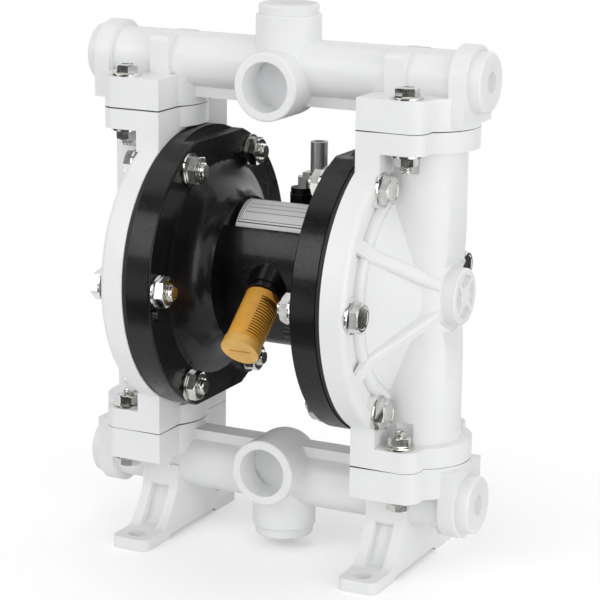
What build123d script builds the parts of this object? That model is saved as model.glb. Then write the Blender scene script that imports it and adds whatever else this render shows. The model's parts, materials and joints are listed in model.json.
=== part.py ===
from build123d import *
import os
from math import sqrt

# Air operated double diaphragm pump, polypropylene wetted end, 3/4 inch ports.
# Millimetres. X runs along the pump shaft, the ports face -Y, Z is up and the
# feet stand on Z = 0. Every piece is drawn about the shaft axis and lifted by
# SHAFT_HEIGHT when it is saved. "Left" is -X and "right" is +X.

# ---- driving dimensions -------------------------------------------------------
WALL_TOUCH = 0.3          # gap kept between two moving bodies that would touch
RUN_FIT = 0.05            # radial clearance of a running fit
SEAT_FIT = 0.05           # radial clearance of a piece dropped into its recess
CAST_EDGE = 1.0           # broken edge of a cast piece
TURNED_EDGE = 0.5         # broken edge of a turned piece

# flange shared by casing, diaphragms and cover
FLANGE_R = 70.0
BOLT_CIRCLE_R = FLANGE_R - 8.3
FLAT_Z = FLANGE_R - 4.5   # flats on the nut side of the casing flanges
FLEX_R = FLANGE_R - 20.0  # inner edge of the clamped diaphragm rim
CHAMBER_R = FLEX_R + 1.5
BOLT_ANGLES = range(0, 360, 60)
STROKE = 5.0              # shaft travel each way

# stack of discs along the shaft, as distances from the pump's middle
BLOCK_END_X = 22.0        # centre block end, casing wall starts
CASING_WALL = 4.0
CASING_FACE_X = 49.5      # casing face that carries the diaphragms
FLANGE_T = 12.8
ROUND_T = 5.5             # part of the casing flange that keeps its full circle
FLANGE_BACK_X = CASING_FACE_X - FLANGE_T
RUBBER_T = 2.5
PTFE_T = 2.0
COVER_FACE_X = CASING_FACE_X + RUBBER_T
RIM_T = 12.4
RIM_X = COVER_FACE_X + RIM_T
RIM_EDGE_R = 3.0

# air casing
BELL_END_R = 36.5         # casing radius where it meets the centre block
BELL_SHOULDER_R = FLANGE_R - 24.5
BELL_FOOT_R = FLANGE_R - 16.5
BELL_WALL = 4.2
PIP_R = 2.2               # cast pip on the casing flange
PIP_H = 3.5
PIP_Y = -(FLANGE_R - 4.0)
PIP_Z = -10.0

# fluid cover
COLUMN_X = 72.5
COLUMN_R = 20.0
COLUMN_BORE_R = 13.0
CONE_FOOT_X = RIM_X + 0.8
CONE_FOOT_R = FLANGE_R - 21.0
CONE_TOP_X = 82.7
CONE_WALL = 5.2           # wall of the cone measured along the shaft
BEAD_R = FLANGE_R - 17.7
BEAD_RADIUS = 2.6
BEAD_X = RIM_X - 1.6
GROOVE_DEPTH = 3.0
GROOVE_LIP_R = FLANGE_R - 5.5
HUB_R = 13.5
HUB_X = 94.5
HUB_POCKET_DEPTH = 3.0
HUB_POCKET_R = 10.5
HUB_CORE_R = 5.0
HUB_SPOKE_W = 2.2
HUB_GROOVE_R = 17.4
HUB_GROOVE_X = 87.5
RIB_W = 6.5
RIB_CREST_R = 2.2
RIB_FOOT_X = RIM_X + 2.0
RIB_HUB_X = 91.0
RIB_ANGLES = (30, 150, 210, 330)
FACET_X = 88.5            # lowest point of the flat cut into the column
FACET_END_Z = 63.0        # height where its plane passes the hub's outer face
SHOULDER_Z = FLANGE_R - 10.0

# joint between cover and manifold
SEAM_Z = FLANGE_R + 12.4
PAD_T = 12.0
MANIFOLD_FLANGE_T = 13.3
PAD_EAR_Y = 34.5
PAD_EAR_X = 85.0
PAD_CORNER_R = 8.0
PAD_BOLT_X = 74.0
PAD_BOLT_Y = 26.5

# check valves
BALL_R = 9.0
BALL_LIFT = 4.5
SEAT_R = 16.0
SEAT_T = 5.0
SEAT_BORE_R = 6.5
SEAT_CHAMFER = 1.5
RING_RADIUS = 0.95
RING_GROOVE_T = 2 * RING_RADIUS   # height left for the sealing ring under a seat
RING_MID_R = SEAT_R - 1.5
BALL_BORE_R = BALL_R + 2.5
BALL_SIT = sqrt(BALL_R ** 2 - SEAT_BORE_R ** 2) - SEAT_CHAMFER + WALL_TOUCH
STOP_RIB_T = 5.0

# manifolds
TUBE_Z = SEAM_Z + 19.6
TUBE_R = 13.75
TUBE_BORE_R = 10.0
COLLAR_IN_X = 90.0
COLLAR_X = 98.0
COLLAR_R = 17.0
PAD_DISC_R = COLLAR_X - COLUMN_X
YOKE_IN_X = 57.3
YOKE_OUT_X = 67.3
YOKE_Y = 16.0
YOKE_TOP_Z = TUBE_Z + 12.5
YOKE_CORNER_R = 3.0
STRIP_Y = 6.0
STRIP_Z = SEAM_Z + 2.1
PORT_Z = TUBE_Z - 7.0
PORT_FACE_Y = -25.0
PORT_R = 16.4
PORT_THREAD_R = 12.06     # minor radius of a G 3/4 thread
PORT_THREAD_L = 16.0
PORT_DISC_R = 13.0        # transit disc held in the groove behind the thread
PORT_DISC_T = 1.6
PORT_PASSAGE_R = 9.0
BOSS_R = 15.8
BOSS_TOP_Z = TUBE_Z + 25.5
END_THREAD_R = 10.4
END_THREAD_L = 13.0
PLUG_STEM_L = END_THREAD_L - 1.0
END_PLUG_R = 14.2
BOSS_PLUG_R = 14.5
PLUG_HEAD_T = 6.4
BOSS_PLUG_HEAD_T = 5.0
PLUG_EDGE_R = 1.6
PLUG_KEY_AF = 9.5
PLUG_KEY_DEPTH = 4.0

# feet
FLOOR_Z = TUBE_Z + 36.0
FOOT_X = 62.3
FOOT_W = 20.0
FOOT_Y = 48.0
FOOT_PAD_T = 6.0
FOOT_RELIEF_Y = 25.0
FOOT_RELIEF = 2.0
FOOT_HOLE_Y = 39.5
FOOT_HOLE_R = 4.5
FOOT_CORNER_R = 4.0
LEG_RIB_W = 5.0
LEG_STRAIGHT = 8.0        # upright part of a leg below the tube axis
LEG_SWELL_Y = 5.0
LEG_SWELL_Z = 20.0
LEG_TOE_Y = 31.0
WEB_HALF_Y = 11.0
WEB_TOE_Y = 24.0
SHAFT_HEIGHT = FLOOR_Z    # shaft axis above the floor

# centre block and air valve
BLOCK_A = 22.0            # half width of the oval section
BLOCK_B = 35.0            # half height of the oval section
SHAFT_R = 8.0
STUD_R = 5.0
BUSH_R = 11.5
BUSH_L = 14.0
SHAFT_CLEAR_R = SHAFT_R + 1.0
SPOOL_Z = 21.0
SLEEVE_R = 8.0
SLEEVE_PORT_R = 1.8
SLEEVE_PORTS_X = (-10.0, 0.0, 10.0)
SPOOL_R = 5.5
SPOOL_WAIST_R = 3.2
SPOOL_HALF_L = 16.5
SPOOL_MID_LAND = 3.0      # half length of the middle land
SPOOL_WAIST_END = 11.0
PILOT_Z = -19.0
PILOT_R = 3.0
PILOT_RATIO = 0.4         # pilot rod travel for each unit of shaft travel
AIR_WAY_R = 2.0
FEED_R = 2.5
FEED_START_Y = 6.0
SCREW_Y = 14.5
SCREW_Z = 19.5
SCREW_R = 2.5
SCREW_DEPTH = 9.0
SCREW_L = 8.0
SCREW_HEAD_R = 4.25
SCREW_HEAD_H = 4.5
SCREW_KEY_AF = 4.0
SCREW_KEY_DEPTH = 2.5
SCREW_HOLE_GAP = 0.25

# plates on the shaft
PLATE_R = FLEX_R - 17.0
INNER_PLATE_X = 42.0
INNER_PLATE_STEP = 9.0
INNER_PLATE_RIM = 3.0
OVERLAY_X = COVER_FACE_X + PTFE_T
OUTER_PLATE_X = OVERLAY_X + 4.0
OUTER_PLATE_RIM = 2.0
OUTER_PLATE_STEP = 14.0
PLATE_NOSE_X = OUTER_PLATE_X + 5.5
PLATE_NOSE_R = 9.0
OVERLAY_R = FLANGE_R - 14.0    # overlay rim, let into the cover face
FOLD_RISE = 3.0

# muffler, on an axis sloping forward and down
MUFFLER_TILT = 40.0
MUFFLER_BASE_Y = -23.7
MUFFLER_BASE_Z = -6.9
MUFFLER_R = 9.0
MUFFLER_CAP_R = 9.5
MUFFLER_L = 32.4
MUFFLER_CAP_L = 4.5
MUFFLER_BORE_R = 5.0
MUFFLER_THREAD_R = 6.55
MUFFLER_THREAD_L = 9.0
MUFFLER_BOSS_R = 11.0
MUFFLER_BOSS_IN = -14.0
MUFFLER_BOSS_OUT = -3.5
MUFFLER_RING_R = 9.9
MUFFLER_SEAT = -0.6
MUFFLER_ROOM_R = MUFFLER_R + 0.8
SLOTS = 15
SLOT_PITCH = 1.5
SLOT_W = 0.6
SLOT_DEPTH = 0.9
SLOT_START = 4.0
SLOT_SPAN = 6.2           # half width of the two plain strips beside the slots
CAP_BAR_L = 11.0
CAP_BAR_W = 1.2
CAP_BAR_DEPTH = 1.0

# air inlet on the rear of the block
INLET_X = -2.2
INLET_Y = 20.0
INLET_TOP_Z = 39.9
INLET_SEAT_Z = 28.9       # top of the pillar cast on the block
INLET_PILLAR_R = 7.0
INLET_PILLAR_LOW_Z = 4.0
INLET_THREAD_R = 3.6
INLET_THREAD_LOW_Z = SPOOL_Z + 3.0
INLET_HEX_AF = 11.0
INLET_HEX_H = 8.0
INLET_COLLAR_R = 5.3
INLET_BORE_R = 1.8
ELBOW_HEX_AF = 7.0
ELBOW_HEX_H = 5.5
ELBOW_HEX_X = -0.2
ELBOW_ARM_LOW = 3.5
ELBOW_ARM_TOP = 8.0
ELBOW_ARM_Y = 3.2
INLET_STEM_X = 7.2
INLET_STEM_R = 4.25
INLET_STEM_BORE_R = 2.8
INLET_STEM_TOP_Z = 63.4
INLET_STEM_FOOT_Z = 48.4  # top of the knee, where the hose stops
INLET_KNEE_R = 4.8

# bare name plate on the front shoulder of the block
LABEL_HALF_L = 20.0
LABEL_T = 0.6
LABEL_LOW_Y = -15.5
LABEL_HIGH_Y = 1.0

# M8 flange bolts
M8_R = 4.0
M8_HOLE_R = 4.5
M8_AF = 13.0
M8_HEAD_H = 4.6
M8_NUT_H = 5.0
M8_WASHER_R = 8.2
M8_THREAD_OUT = 2.8
SPOT_GAP = 0.5            # room round a washer where a rib or column is cut back

# M6 manifold bolts
M6_R = 3.0
M6_HOLE_R = 3.4
M6_AF = 10.0
M6_HEAD_H = 4.0
M6_NUT_H = 4.6
M6_WASHER_R = 7.6
M6_THREAD_OUT = 3.2
WASHER_T = 1.2
WASHER_HOLE_GAP = 0.3
HEX_CORNER = 0.6          # corner left on a hexagon beyond its across-flats circle

os.makedirs("parts", exist_ok=True)


# ---- drawing helpers ----------------------------------------------------------
def rod(axis, start, end, radius, x=0.0, y=0.0, z=0.0):
    """Cylinder between two coordinates along one axis."""
    length = abs(end - start)
    middle = (start + end) / 2
    if axis == "x":
        return Pos(middle, y, z) * Rot(0, 90, 0) * Cylinder(radius, length)
    if axis == "y":
        return Pos(x, middle, z) * Rot(90, 0, 0) * Cylinder(radius, length)
    return Pos(x, y, middle) * Cylinder(radius, length)


def block(x_range, y_range, z_range):
    """Box between coordinate pairs."""
    sizes = [abs(b - a) for a, b in (x_range, y_range, z_range)]
    centre = [(a + b) / 2 for a, b in (x_range, y_range, z_range)]
    return Pos(*centre) * Box(*sizes)


def spin(points):
    """Solid of revolution about the shaft from (distance, radius) corners."""
    outline = Polyline(*points, close=True)
    return revolve(Plane.XZ * make_face(outline), Axis.X)


def prism_z(sketch, low, high):
    """Upright prism from a sketch in the XY plane."""
    return Pos(0, 0, low) * extrude(sketch, amount=high - low)


def hexagon(af):
    """Hexagon given its size across flats."""
    return RegularPolygon(af / 2, 6, major_radius=False)


def hexagon_z(af, height, x, y, z):
    """Hexagonal prism standing on a point."""
    return Pos(x, y, z) * extrude(hexagon(af), amount=height)


def hexagon_key(af, depth, x, y, z):
    """Hexagonal socket running from a point along the shaft."""
    return Pos(x, y, z) * Rot(0, 90, 0) * extrude(hexagon(af), amount=depth)


def merge(solids):
    """One solid from a list."""
    total = solids[0]
    for extra in solids[1:]:
        total = total + extra
    return total


def flip_x(shape):
    """The same piece on the other side of the pump."""
    return mirror(shape, about=Plane.YZ)


def flip_z(shape):
    """The same piece upside down about the shaft axis."""
    return mirror(shape, about=Plane.XY)


def as_drawn(shape):
    """The piece where it was drawn."""
    return shape


def both_sides(solids):
    """A list of solids and its mirror images."""
    return solids + [flip_x(s) for s in solids]


def round_bolts(shape):
    """Copies of one flange fastener at every bolt position round the shaft."""
    return [Rot(angle, 0, 0) * shape for angle in BOLT_ANGLES]


def save(name, solids):
    """Lift the piece onto its feet and write it out."""
    group = solids if isinstance(solids, list) else [solids]
    lifted = [Pos(0, 0, SHAFT_HEIGHT) * s for s in group]
    flat = [body for s in lifted for body in s.solids()]
    shape = flat[0] if len(flat) == 1 else Compound(children=flat)
    shape.label = name
    export_step(shape, f"parts/{name}.step")


SIDES = (("right", as_drawn), ("left", flip_x))


# ---- check valves -------------------------------------------------------------
def seat_ring(seam_z):
    """Valve seat whose upper face lies on a seam."""
    ring = rod("z", seam_z - SEAT_T, seam_z, SEAT_R, x=COLUMN_X)
    hole = rod("z", seam_z - SEAT_T, seam_z, SEAT_BORE_R, x=COLUMN_X)
    cone = Pos(COLUMN_X, 0, seam_z - SEAT_CHAMFER / 2) * Cone(
        SEAT_BORE_R, SEAT_BORE_R + SEAT_CHAMFER, SEAT_CHAMFER)
    return ring - hole - cone


def seat_recess(seam_z):
    """Room for a seat and its sealing ring below a seam."""
    depth = SEAT_T + RING_GROOVE_T
    return rod("z", seam_z - depth, seam_z, SEAT_R + SEAT_FIT, x=COLUMN_X)


def sealing_ring(seam_z):
    """Ring squeezed under a seat."""
    level = seam_z - SEAT_T - RING_GROOVE_T / 2
    return Pos(COLUMN_X, 0, level) * Torus(RING_MID_R, RING_RADIUS)


def ball(seam_z):
    """Check ball resting on its seat."""
    return Pos(COLUMN_X, 0, seam_z + BALL_SIT) * Sphere(BALL_R)


def stop_level(seam_z):
    """Height of the rib that ends the lift of a ball."""
    return seam_z + BALL_SIT + BALL_R + BALL_LIFT + WALL_TOUCH


for side, turn in SIDES:
    for duty, seam in (("suction", -SEAM_Z), ("discharge", SEAM_Z)):
        save(f"valve_seat_{duty}_{side}", turn(seat_ring(seam)))
        save(f"check_ball_{duty}_{side}", turn(ball(seam)))
save("seat_sealing_rings", both_sides([sealing_ring(z) for z in (-SEAM_Z, SEAM_Z)]))


# ---- fluid covers -------------------------------------------------------------
def pad_outline():
    """Flange outline shared by the cover pads and the manifold flanges."""
    width = PAD_EAR_X - COVER_FACE_X
    ears = Pos(COVER_FACE_X + width / 2, 0) * Rectangle(width, 2 * PAD_EAR_Y)
    outer = ears.vertices().sort_by(Axis.X)[-2:]
    ears = fillet(outer, radius=PAD_CORNER_R)
    return ears + Pos(COLUMN_X, 0) * Circle(PAD_DISC_R)


def pad_bolt_points():
    """Bolt positions in one pad."""
    return [(PAD_BOLT_X, y) for y in (-PAD_BOLT_Y, PAD_BOLT_Y)]


def cover_rib(angle):
    """Radial web with a rounded crest, from the rim to the hub."""
    low = CONE_TOP_X - CONE_WALL / 2
    side = Polyline(
        (BEAD_X, GROOVE_LIP_R), (RIM_X, GROOVE_LIP_R), (RIB_FOOT_X, BEAD_R),
        (RIB_HUB_X, HUB_R - HUB_SPOKE_W), (low, HUB_R - HUB_SPOKE_W),
        (BEAD_X, CONE_FOOT_R), close=True)
    web = extrude(Plane.XZ * make_face(side), amount=RIB_W / 2, both=True)
    crest = web.edges().filter_by(
        lambda e: e.center().X > (RIB_FOOT_X + RIB_HUB_X) / 2 - RIB_W
        and abs(e.center().Y) > RIB_W / 4 and e.length > HUB_R)
    crest = crest.sort_by(Axis.X)[-2:]
    return Rot(angle + 90, 0, 0) * fillet(crest, radius=RIB_CREST_R)


def column_facet():
    """Flat that slopes into the column down to the groove round the hub."""
    low = (HUB_R + HUB_GROOVE_R) / 2
    side = Polyline((FACET_X, low), (HUB_X, low), (HUB_X, FACET_END_Z), close=True)
    return extrude(Plane.XZ * make_face(side), amount=COLUMN_R, both=True)


def hub():
    """Round hub with an annular pocket crossed by four spokes."""
    floor = HUB_X - HUB_POCKET_DEPTH
    body = rod("x", CONE_TOP_X - CONE_WALL / 2, HUB_X, HUB_R)
    body = fillet(body.edges().sort_by(Axis.X)[-1], radius=CAST_EDGE)
    pocket = rod("x", floor, HUB_X, HUB_POCKET_R) - rod("x", floor, HUB_X, HUB_CORE_R)
    for angle in (45, 135):
        spoke = block((floor, HUB_X), (-HUB_R, HUB_R), (-HUB_SPOKE_W / 2, HUB_SPOKE_W / 2))
        pocket = pocket - Rot(angle, 0, 0) * spoke
    return body - pocket


def rim():
    """Clamping rim with a rounded edge, a groove and a bolt boss at every hole."""
    disc = rod("x", COVER_FACE_X, RIM_X, FLANGE_R)
    disc = fillet(disc.edges().sort_by(Axis.X)[-1], radius=RIM_EDGE_R)
    floor = RIM_X - GROOVE_DEPTH
    groove = rod("x", floor, RIM_X, GROOVE_LIP_R) - rod("x", floor, RIM_X, BEAD_R)
    for boss in round_bolts(rod("x", floor, RIM_X, M8_WASHER_R + SPOT_GAP,
                                y=-BOLT_CIRCLE_R)):
        groove = groove - boss
    bead = Pos(BEAD_X, 0, 0) * Rot(0, 90, 0) * Torus(BEAD_R, BEAD_RADIUS)
    return disc - groove + bead


def fluid_cover():
    """Right-hand cover with the ball column cast on its outside."""
    cone = spin([
        (COVER_FACE_X, 0), (COVER_FACE_X, CONE_FOOT_R), (CONE_FOOT_X, CONE_FOOT_R),
        (CONE_TOP_X, HUB_R), (CONE_TOP_X, 0)])
    column = rod("z", -SEAM_Z, SEAM_Z, COLUMN_R, x=COLUMN_X)
    pad = prism_z(pad_outline(), SEAM_Z - PAD_T, SEAM_Z)
    shoulder = block((COVER_FACE_X, RIM_X), (-PAD_EAR_Y, PAD_EAR_Y), (SHOULDER_Z, SEAM_Z))
    body = merge([rim(), cone, column, pad, flip_z(pad), shoulder, flip_z(shoulder)])
    for angle in RIB_ANGLES:
        body = body + cover_rib(angle)
    body = body - column_facet() - flip_z(column_facet())
    body = body - rod("x", HUB_GROOVE_X, HUB_X, HUB_GROOVE_R)
    body = body + hub()

    chamber_end = CONE_TOP_X - CONE_WALL
    chamber = spin([
        (COVER_FACE_X, 0), (COVER_FACE_X, CHAMBER_R),
        (OVERLAY_X + STROKE + WALL_TOUCH, FLEX_R), (CONE_FOOT_X - CONE_WALL, CONE_FOOT_R),
        (chamber_end, HUB_R), (chamber_end, 0)])
    inlay = rod("x", COVER_FACE_X, OVERLAY_X, OVERLAY_R + SEAT_FIT)
    passage = rod("z", -SEAM_Z, SEAM_Z - SEAT_T - RING_GROOVE_T, COLUMN_BORE_R,
                  x=COLUMN_X)
    stop_z = stop_level(-SEAM_Z)
    stop = block((COLUMN_X - COLUMN_BORE_R, COLUMN_X + COLUMN_BORE_R),
                 (-STOP_RIB_T / 2, STOP_RIB_T / 2), (stop_z, stop_z + STOP_RIB_T))
    body = body - (chamber + passage - stop) - inlay - seat_recess(SEAM_Z)
    for x, y in pad_bolt_points():
        for sign in (-1, 1):
            hole = rod("z", sign * (SEAM_Z - PAD_T), sign * SEAM_Z, M6_HOLE_R, x=x, y=y)
            relief = rod("z", sign * SHOULDER_Z, sign * (SEAM_Z - PAD_T),
                         M6_WASHER_R + SPOT_GAP, x=x, y=y)
            body = body - hole - relief
    cuts = [rod("x", COVER_FACE_X, RIM_X, M8_HOLE_R, y=-BOLT_CIRCLE_R),
            rod("x", RIM_X, CONE_TOP_X, M8_WASHER_R + SPOT_GAP, y=-BOLT_CIRCLE_R)]
    for cut in cuts:
        for place in round_bolts(cut):
            body = body - place
    return body


cover = fluid_cover()
for side, turn in SIDES:
    save(f"fluid_cover_{side}", turn(cover))


# ---- manifolds ----------------------------------------------------------------
def end_plug():
    """Hexagon-socket plug for one tube end."""
    outer = COLLAR_X + PLUG_HEAD_T
    head = rod("x", COLLAR_X, outer, END_PLUG_R, z=TUBE_Z)
    head = fillet(head.edges().sort_by(Axis.X)[-1], radius=PLUG_EDGE_R)
    stem = rod("x", COLLAR_X - PLUG_STEM_L, COLLAR_X, END_THREAD_R - SEAT_FIT, z=TUBE_Z)
    key = hexagon_key(PLUG_KEY_AF, PLUG_KEY_DEPTH, outer - PLUG_KEY_DEPTH, 0, TUBE_Z)
    return head + stem - key


def boss_plug():
    """Hexagon-socket plug for the upright boss."""
    outer = BOSS_TOP_Z + BOSS_PLUG_HEAD_T
    head = rod("z", BOSS_TOP_Z, outer, BOSS_PLUG_R)
    head = fillet(head.edges().sort_by(Axis.Z)[-1], radius=PLUG_EDGE_R)
    stem = rod("z", BOSS_TOP_Z - PLUG_STEM_L, BOSS_TOP_Z, PORT_THREAD_R - SEAT_FIT)
    return head + stem - hexagon_z(PLUG_KEY_AF, PLUG_KEY_DEPTH, 0, 0, outer - PLUG_KEY_DEPTH)


def port_disc():
    """Transit disc snapped into the groove behind the port thread."""
    inner = PORT_FACE_Y + PORT_THREAD_L
    return rod("y", inner, inner + PORT_DISC_T, PORT_DISC_R, z=PORT_Z)


def manifold_side(seat_side):
    """Flange, yoke and collar at the right end, and the bores through them."""
    top = SEAM_Z + MANIFOLD_FLANGE_T
    flange = prism_z(pad_outline(), SEAM_Z, top)
    yoke = block((YOKE_IN_X, YOKE_OUT_X), (-YOKE_Y, YOKE_Y), (SEAM_Z, YOKE_TOP_Z))
    yoke = fillet(yoke.edges().filter_by(Axis.X).group_by(Axis.Z)[-1], radius=YOKE_CORNER_R)
    collar = rod("x", COLLAR_IN_X, COLLAR_X, COLLAR_R, z=TUBE_Z)
    cheek = block((COLLAR_IN_X, COLLAR_X), (-COLLAR_R, COLLAR_R), (SEAM_Z, TUBE_Z))
    bores = [rod("x", COLLAR_X - END_THREAD_L, COLLAR_X, END_THREAD_R, z=TUBE_Z)]
    for x, y in pad_bolt_points():
        bores.append(rod("z", SEAM_Z, top, M6_HOLE_R, x=x, y=y))
    if seat_side:
        bores.append(flip_z(seat_recess(-SEAM_Z)))
        bores.append(rod("z", SEAM_Z, TUBE_Z, SEAT_BORE_R + SEAT_CHAMFER, x=COLUMN_X))
    else:
        bores.append(rod("z", SEAM_Z, stop_level(SEAM_Z), BALL_BORE_R, x=COLUMN_X))
    return merge([flange, yoke, collar, cheek]), bores


def manifold(seat_side):
    """Tube with a centre port, an upright boss and two flanged ends."""
    side, bores = manifold_side(seat_side)
    tube = rod("x", -COLLAR_IN_X, COLLAR_IN_X, TUBE_R, z=TUBE_Z)
    strip = block((-COLLAR_IN_X, COLLAR_IN_X), (-STRIP_Y, STRIP_Y), (STRIP_Z, TUBE_Z))
    boss = rod("z", TUBE_Z, BOSS_TOP_Z, BOSS_R)
    boss = fillet(boss.edges().sort_by(Axis.Z)[-1], radius=CAST_EDGE)
    port = rod("y", PORT_FACE_Y, 0, PORT_R, z=PORT_Z)
    port = fillet(port.edges().sort_by(Axis.Y)[0], radius=CAST_EDGE)
    core = Pos(0, 0, PORT_Z) * Sphere(PORT_R)
    body = merge([tube, strip, boss, port, core, side, flip_x(side)])
    if seat_side:
        body = merge([body, foot(), flip_x(foot())])
    body = body - rod("x", -COLLAR_X, COLLAR_X, TUBE_BORE_R, z=TUBE_Z)
    if not seat_side:
        stop_z = stop_level(SEAM_Z)
        rib = block((COLUMN_X - STOP_RIB_T / 2, COLUMN_X + STOP_RIB_T / 2),
                    (-TUBE_R, TUBE_R), (stop_z, TUBE_Z + TUBE_R))
        rib = rib & rod("x", YOKE_IN_X, COLLAR_IN_X, (TUBE_R + TUBE_BORE_R) / 2, z=TUBE_Z)
        body = body + rib + flip_x(rib)
    for bore in bores:
        body = body - bore - flip_x(bore)
    inner = PORT_FACE_Y + PORT_THREAD_L
    body = body - rod("y", PORT_FACE_Y, inner, PORT_THREAD_R, z=PORT_Z)
    body = body - rod("y", inner, inner + PORT_DISC_T, PORT_DISC_R + SEAT_FIT, z=PORT_Z)
    body = body - rod("y", inner, 0, PORT_PASSAGE_R, z=PORT_Z)
    body = body - rod("z", BOSS_TOP_Z - END_THREAD_L, BOSS_TOP_Z, PORT_THREAD_R)
    return body - rod("z", TUBE_Z, BOSS_TOP_Z, PORT_PASSAGE_R)


def leg(half_top, toe_y, width):
    """Symmetric leg outline, drawn upside down, given its thickness."""
    pad_z = FLOOR_Z - FOOT_PAD_T
    arch_z = FLOOR_Z - FOOT_RELIEF
    arch_y = FOOT_RELIEF_Y - FOOT_RELIEF
    start = (half_top, TUBE_Z + LEG_STRAIGHT)
    swell = (half_top + LEG_SWELL_Y, TUBE_Z + LEG_SWELL_Z)
    outline = Curve() + [
        Line((0, TUBE_Z), (half_top, TUBE_Z)),
        Line((half_top, TUBE_Z), start),
        Spline([start, swell, (toe_y, pad_z)], tangents=[(0, 1), (1, 0.35)]),
        Line((toe_y, pad_z), (FOOT_Y, pad_z)),
        Line((FOOT_Y, pad_z), (FOOT_Y, FLOOR_Z)),
        Line((FOOT_Y, FLOOR_Z), (FOOT_RELIEF_Y, FLOOR_Z)),
        Line((FOOT_RELIEF_Y, FLOOR_Z), (arch_y, arch_z)),
        Line((arch_y, arch_z), (0, arch_z)),
        Line((0, arch_z), (0, TUBE_Z))]
    half = extrude(Plane.YZ * make_face(outline), amount=width / 2, both=True)
    return half + mirror(half, about=Plane.XZ)


def foot():
    """Splayed leg under one yoke, with a channel between two side ribs."""
    inside = FOOT_W - 2 * LEG_RIB_W
    channel = leg(YOKE_Y, LEG_TOE_Y, inside) - leg(WEB_HALF_Y, WEB_TOE_Y, inside)
    body = leg(YOKE_Y, LEG_TOE_Y, FOOT_W) - channel
    corners = body.edges().filter_by(Axis.Z).filter_by(
        lambda e: abs(e.center().Y) > (FOOT_HOLE_Y + FOOT_Y) / 2)
    body = fillet(corners, radius=FOOT_CORNER_R)
    for sign in (-1, 1):
        body = body - rod("z", FLOOR_Z - FOOT_PAD_T, FLOOR_Z, FOOT_HOLE_R,
                          y=sign * FOOT_HOLE_Y)
    return Pos(FOOT_X, 0, 0) * body


save("discharge_manifold", manifold(False))
save("suction_manifold", flip_z(manifold(True)))
for duty, turn in (("discharge", as_drawn), ("suction", flip_z)):
    save(f"{duty}_end_plugs", [turn(plug) for plug in both_sides([end_plug()])])
    save(f"{duty}_boss_plug", turn(boss_plug()))
    save(f"{duty}_port_disc", turn(port_disc()))


# ---- air casings --------------------------------------------------------------
def block_screw_points():
    """Screws that hold a casing to the centre block."""
    return [(y, z) for y in (-SCREW_Y, SCREW_Y) for z in (-SCREW_Z, SCREW_Z)]


def flange_holes(start, end):
    """Clearance holes for the flange bolts."""
    return round_bolts(rod("x", start, end, M8_HOLE_R, y=-BOLT_CIRCLE_R))


def bell():
    """Solid bell of the casing, swelling smoothly from the block to the flange."""
    shoulder_x = (BLOCK_END_X + FLANGE_BACK_X) / 2 + CASING_WALL
    points = [(BLOCK_END_X, BELL_END_R), (shoulder_x, BELL_SHOULDER_R),
              (FLANGE_BACK_X, BELL_FOOT_R)]
    outline = Curve() + [
        Spline(points, tangents=[(1, 0.1), (1, 1.6)]),
        Line(points[2], (CASING_FACE_X, BELL_FOOT_R)),
        Line((CASING_FACE_X, BELL_FOOT_R), (CASING_FACE_X, 0)),
        Line((CASING_FACE_X, 0), (BLOCK_END_X, 0)),
        Line((BLOCK_END_X, 0), points[0])]
    return revolve(Plane.XZ * make_face(outline), Axis.X)


def casing_flange():
    """Flange with two flats on its nut side and a full circle at the diaphragm."""
    edge_x = CASING_FACE_X - ROUND_T
    nut_side = rod("x", FLANGE_BACK_X, CASING_FACE_X, FLANGE_R)
    nut_side = fillet(nut_side.edges().sort_by(Axis.X)[0], radius=CAST_EDGE)
    keep = block((FLANGE_BACK_X, edge_x), (-FLANGE_R, FLANGE_R), (-FLAT_Z, FLAT_Z))
    return (nut_side & keep) + rod("x", edge_x, CASING_FACE_X, FLANGE_R)


def air_casing():
    """Right-hand black casing that closes the air side of one diaphragm."""
    floor_x = BLOCK_END_X + CASING_WALL
    body = bell() + casing_flange()
    hollow = spin([
        (CASING_FACE_X, 0), (CASING_FACE_X, CHAMBER_R),
        (FLANGE_BACK_X + BELL_WALL / 2, BELL_FOOT_R - BELL_WALL - 1),
        (floor_x + CASING_WALL, BELL_END_R - CAST_EDGE), (floor_x, BELL_END_R - BELL_WALL),
        (floor_x, 0)])
    body = body - hollow
    for hole in flange_holes(FLANGE_BACK_X, CASING_FACE_X):
        body = body - hole
    body = body + rod("x", FLANGE_BACK_X - PIP_H, FLANGE_BACK_X + CAST_EDGE, PIP_R,
                      y=PIP_Y, z=PIP_Z)
    body = body - rod("x", BLOCK_END_X, floor_x, SHAFT_CLEAR_R)
    body = body - rod("x", BLOCK_END_X, floor_x, PILOT_R + RUN_FIT, z=PILOT_Z)
    body = body - rod("x", BLOCK_END_X, floor_x, AIR_WAY_R, z=SPOOL_Z)
    for y, z in block_screw_points():
        body = body - rod("x", BLOCK_END_X, floor_x, SCREW_R + SCREW_HOLE_GAP, y=y, z=z)
    return body


casing = air_casing()
for side, turn in SIDES:
    save(f"air_casing_{side}", turn(casing))


# ---- centre block -------------------------------------------------------------
def muffler_axis(distance):
    """Place on the sloping muffler axis, measured from its base."""
    base = Pos(0, MUFFLER_BASE_Y, MUFFLER_BASE_Z) * Rot(90 + MUFFLER_TILT, 0, 0)
    return base * Pos(0, 0, distance)


def along_muffler(start, end, radius):
    """Cylinder on the muffler axis."""
    return muffler_axis((start + end) / 2) * Cylinder(radius, end - start)


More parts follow.
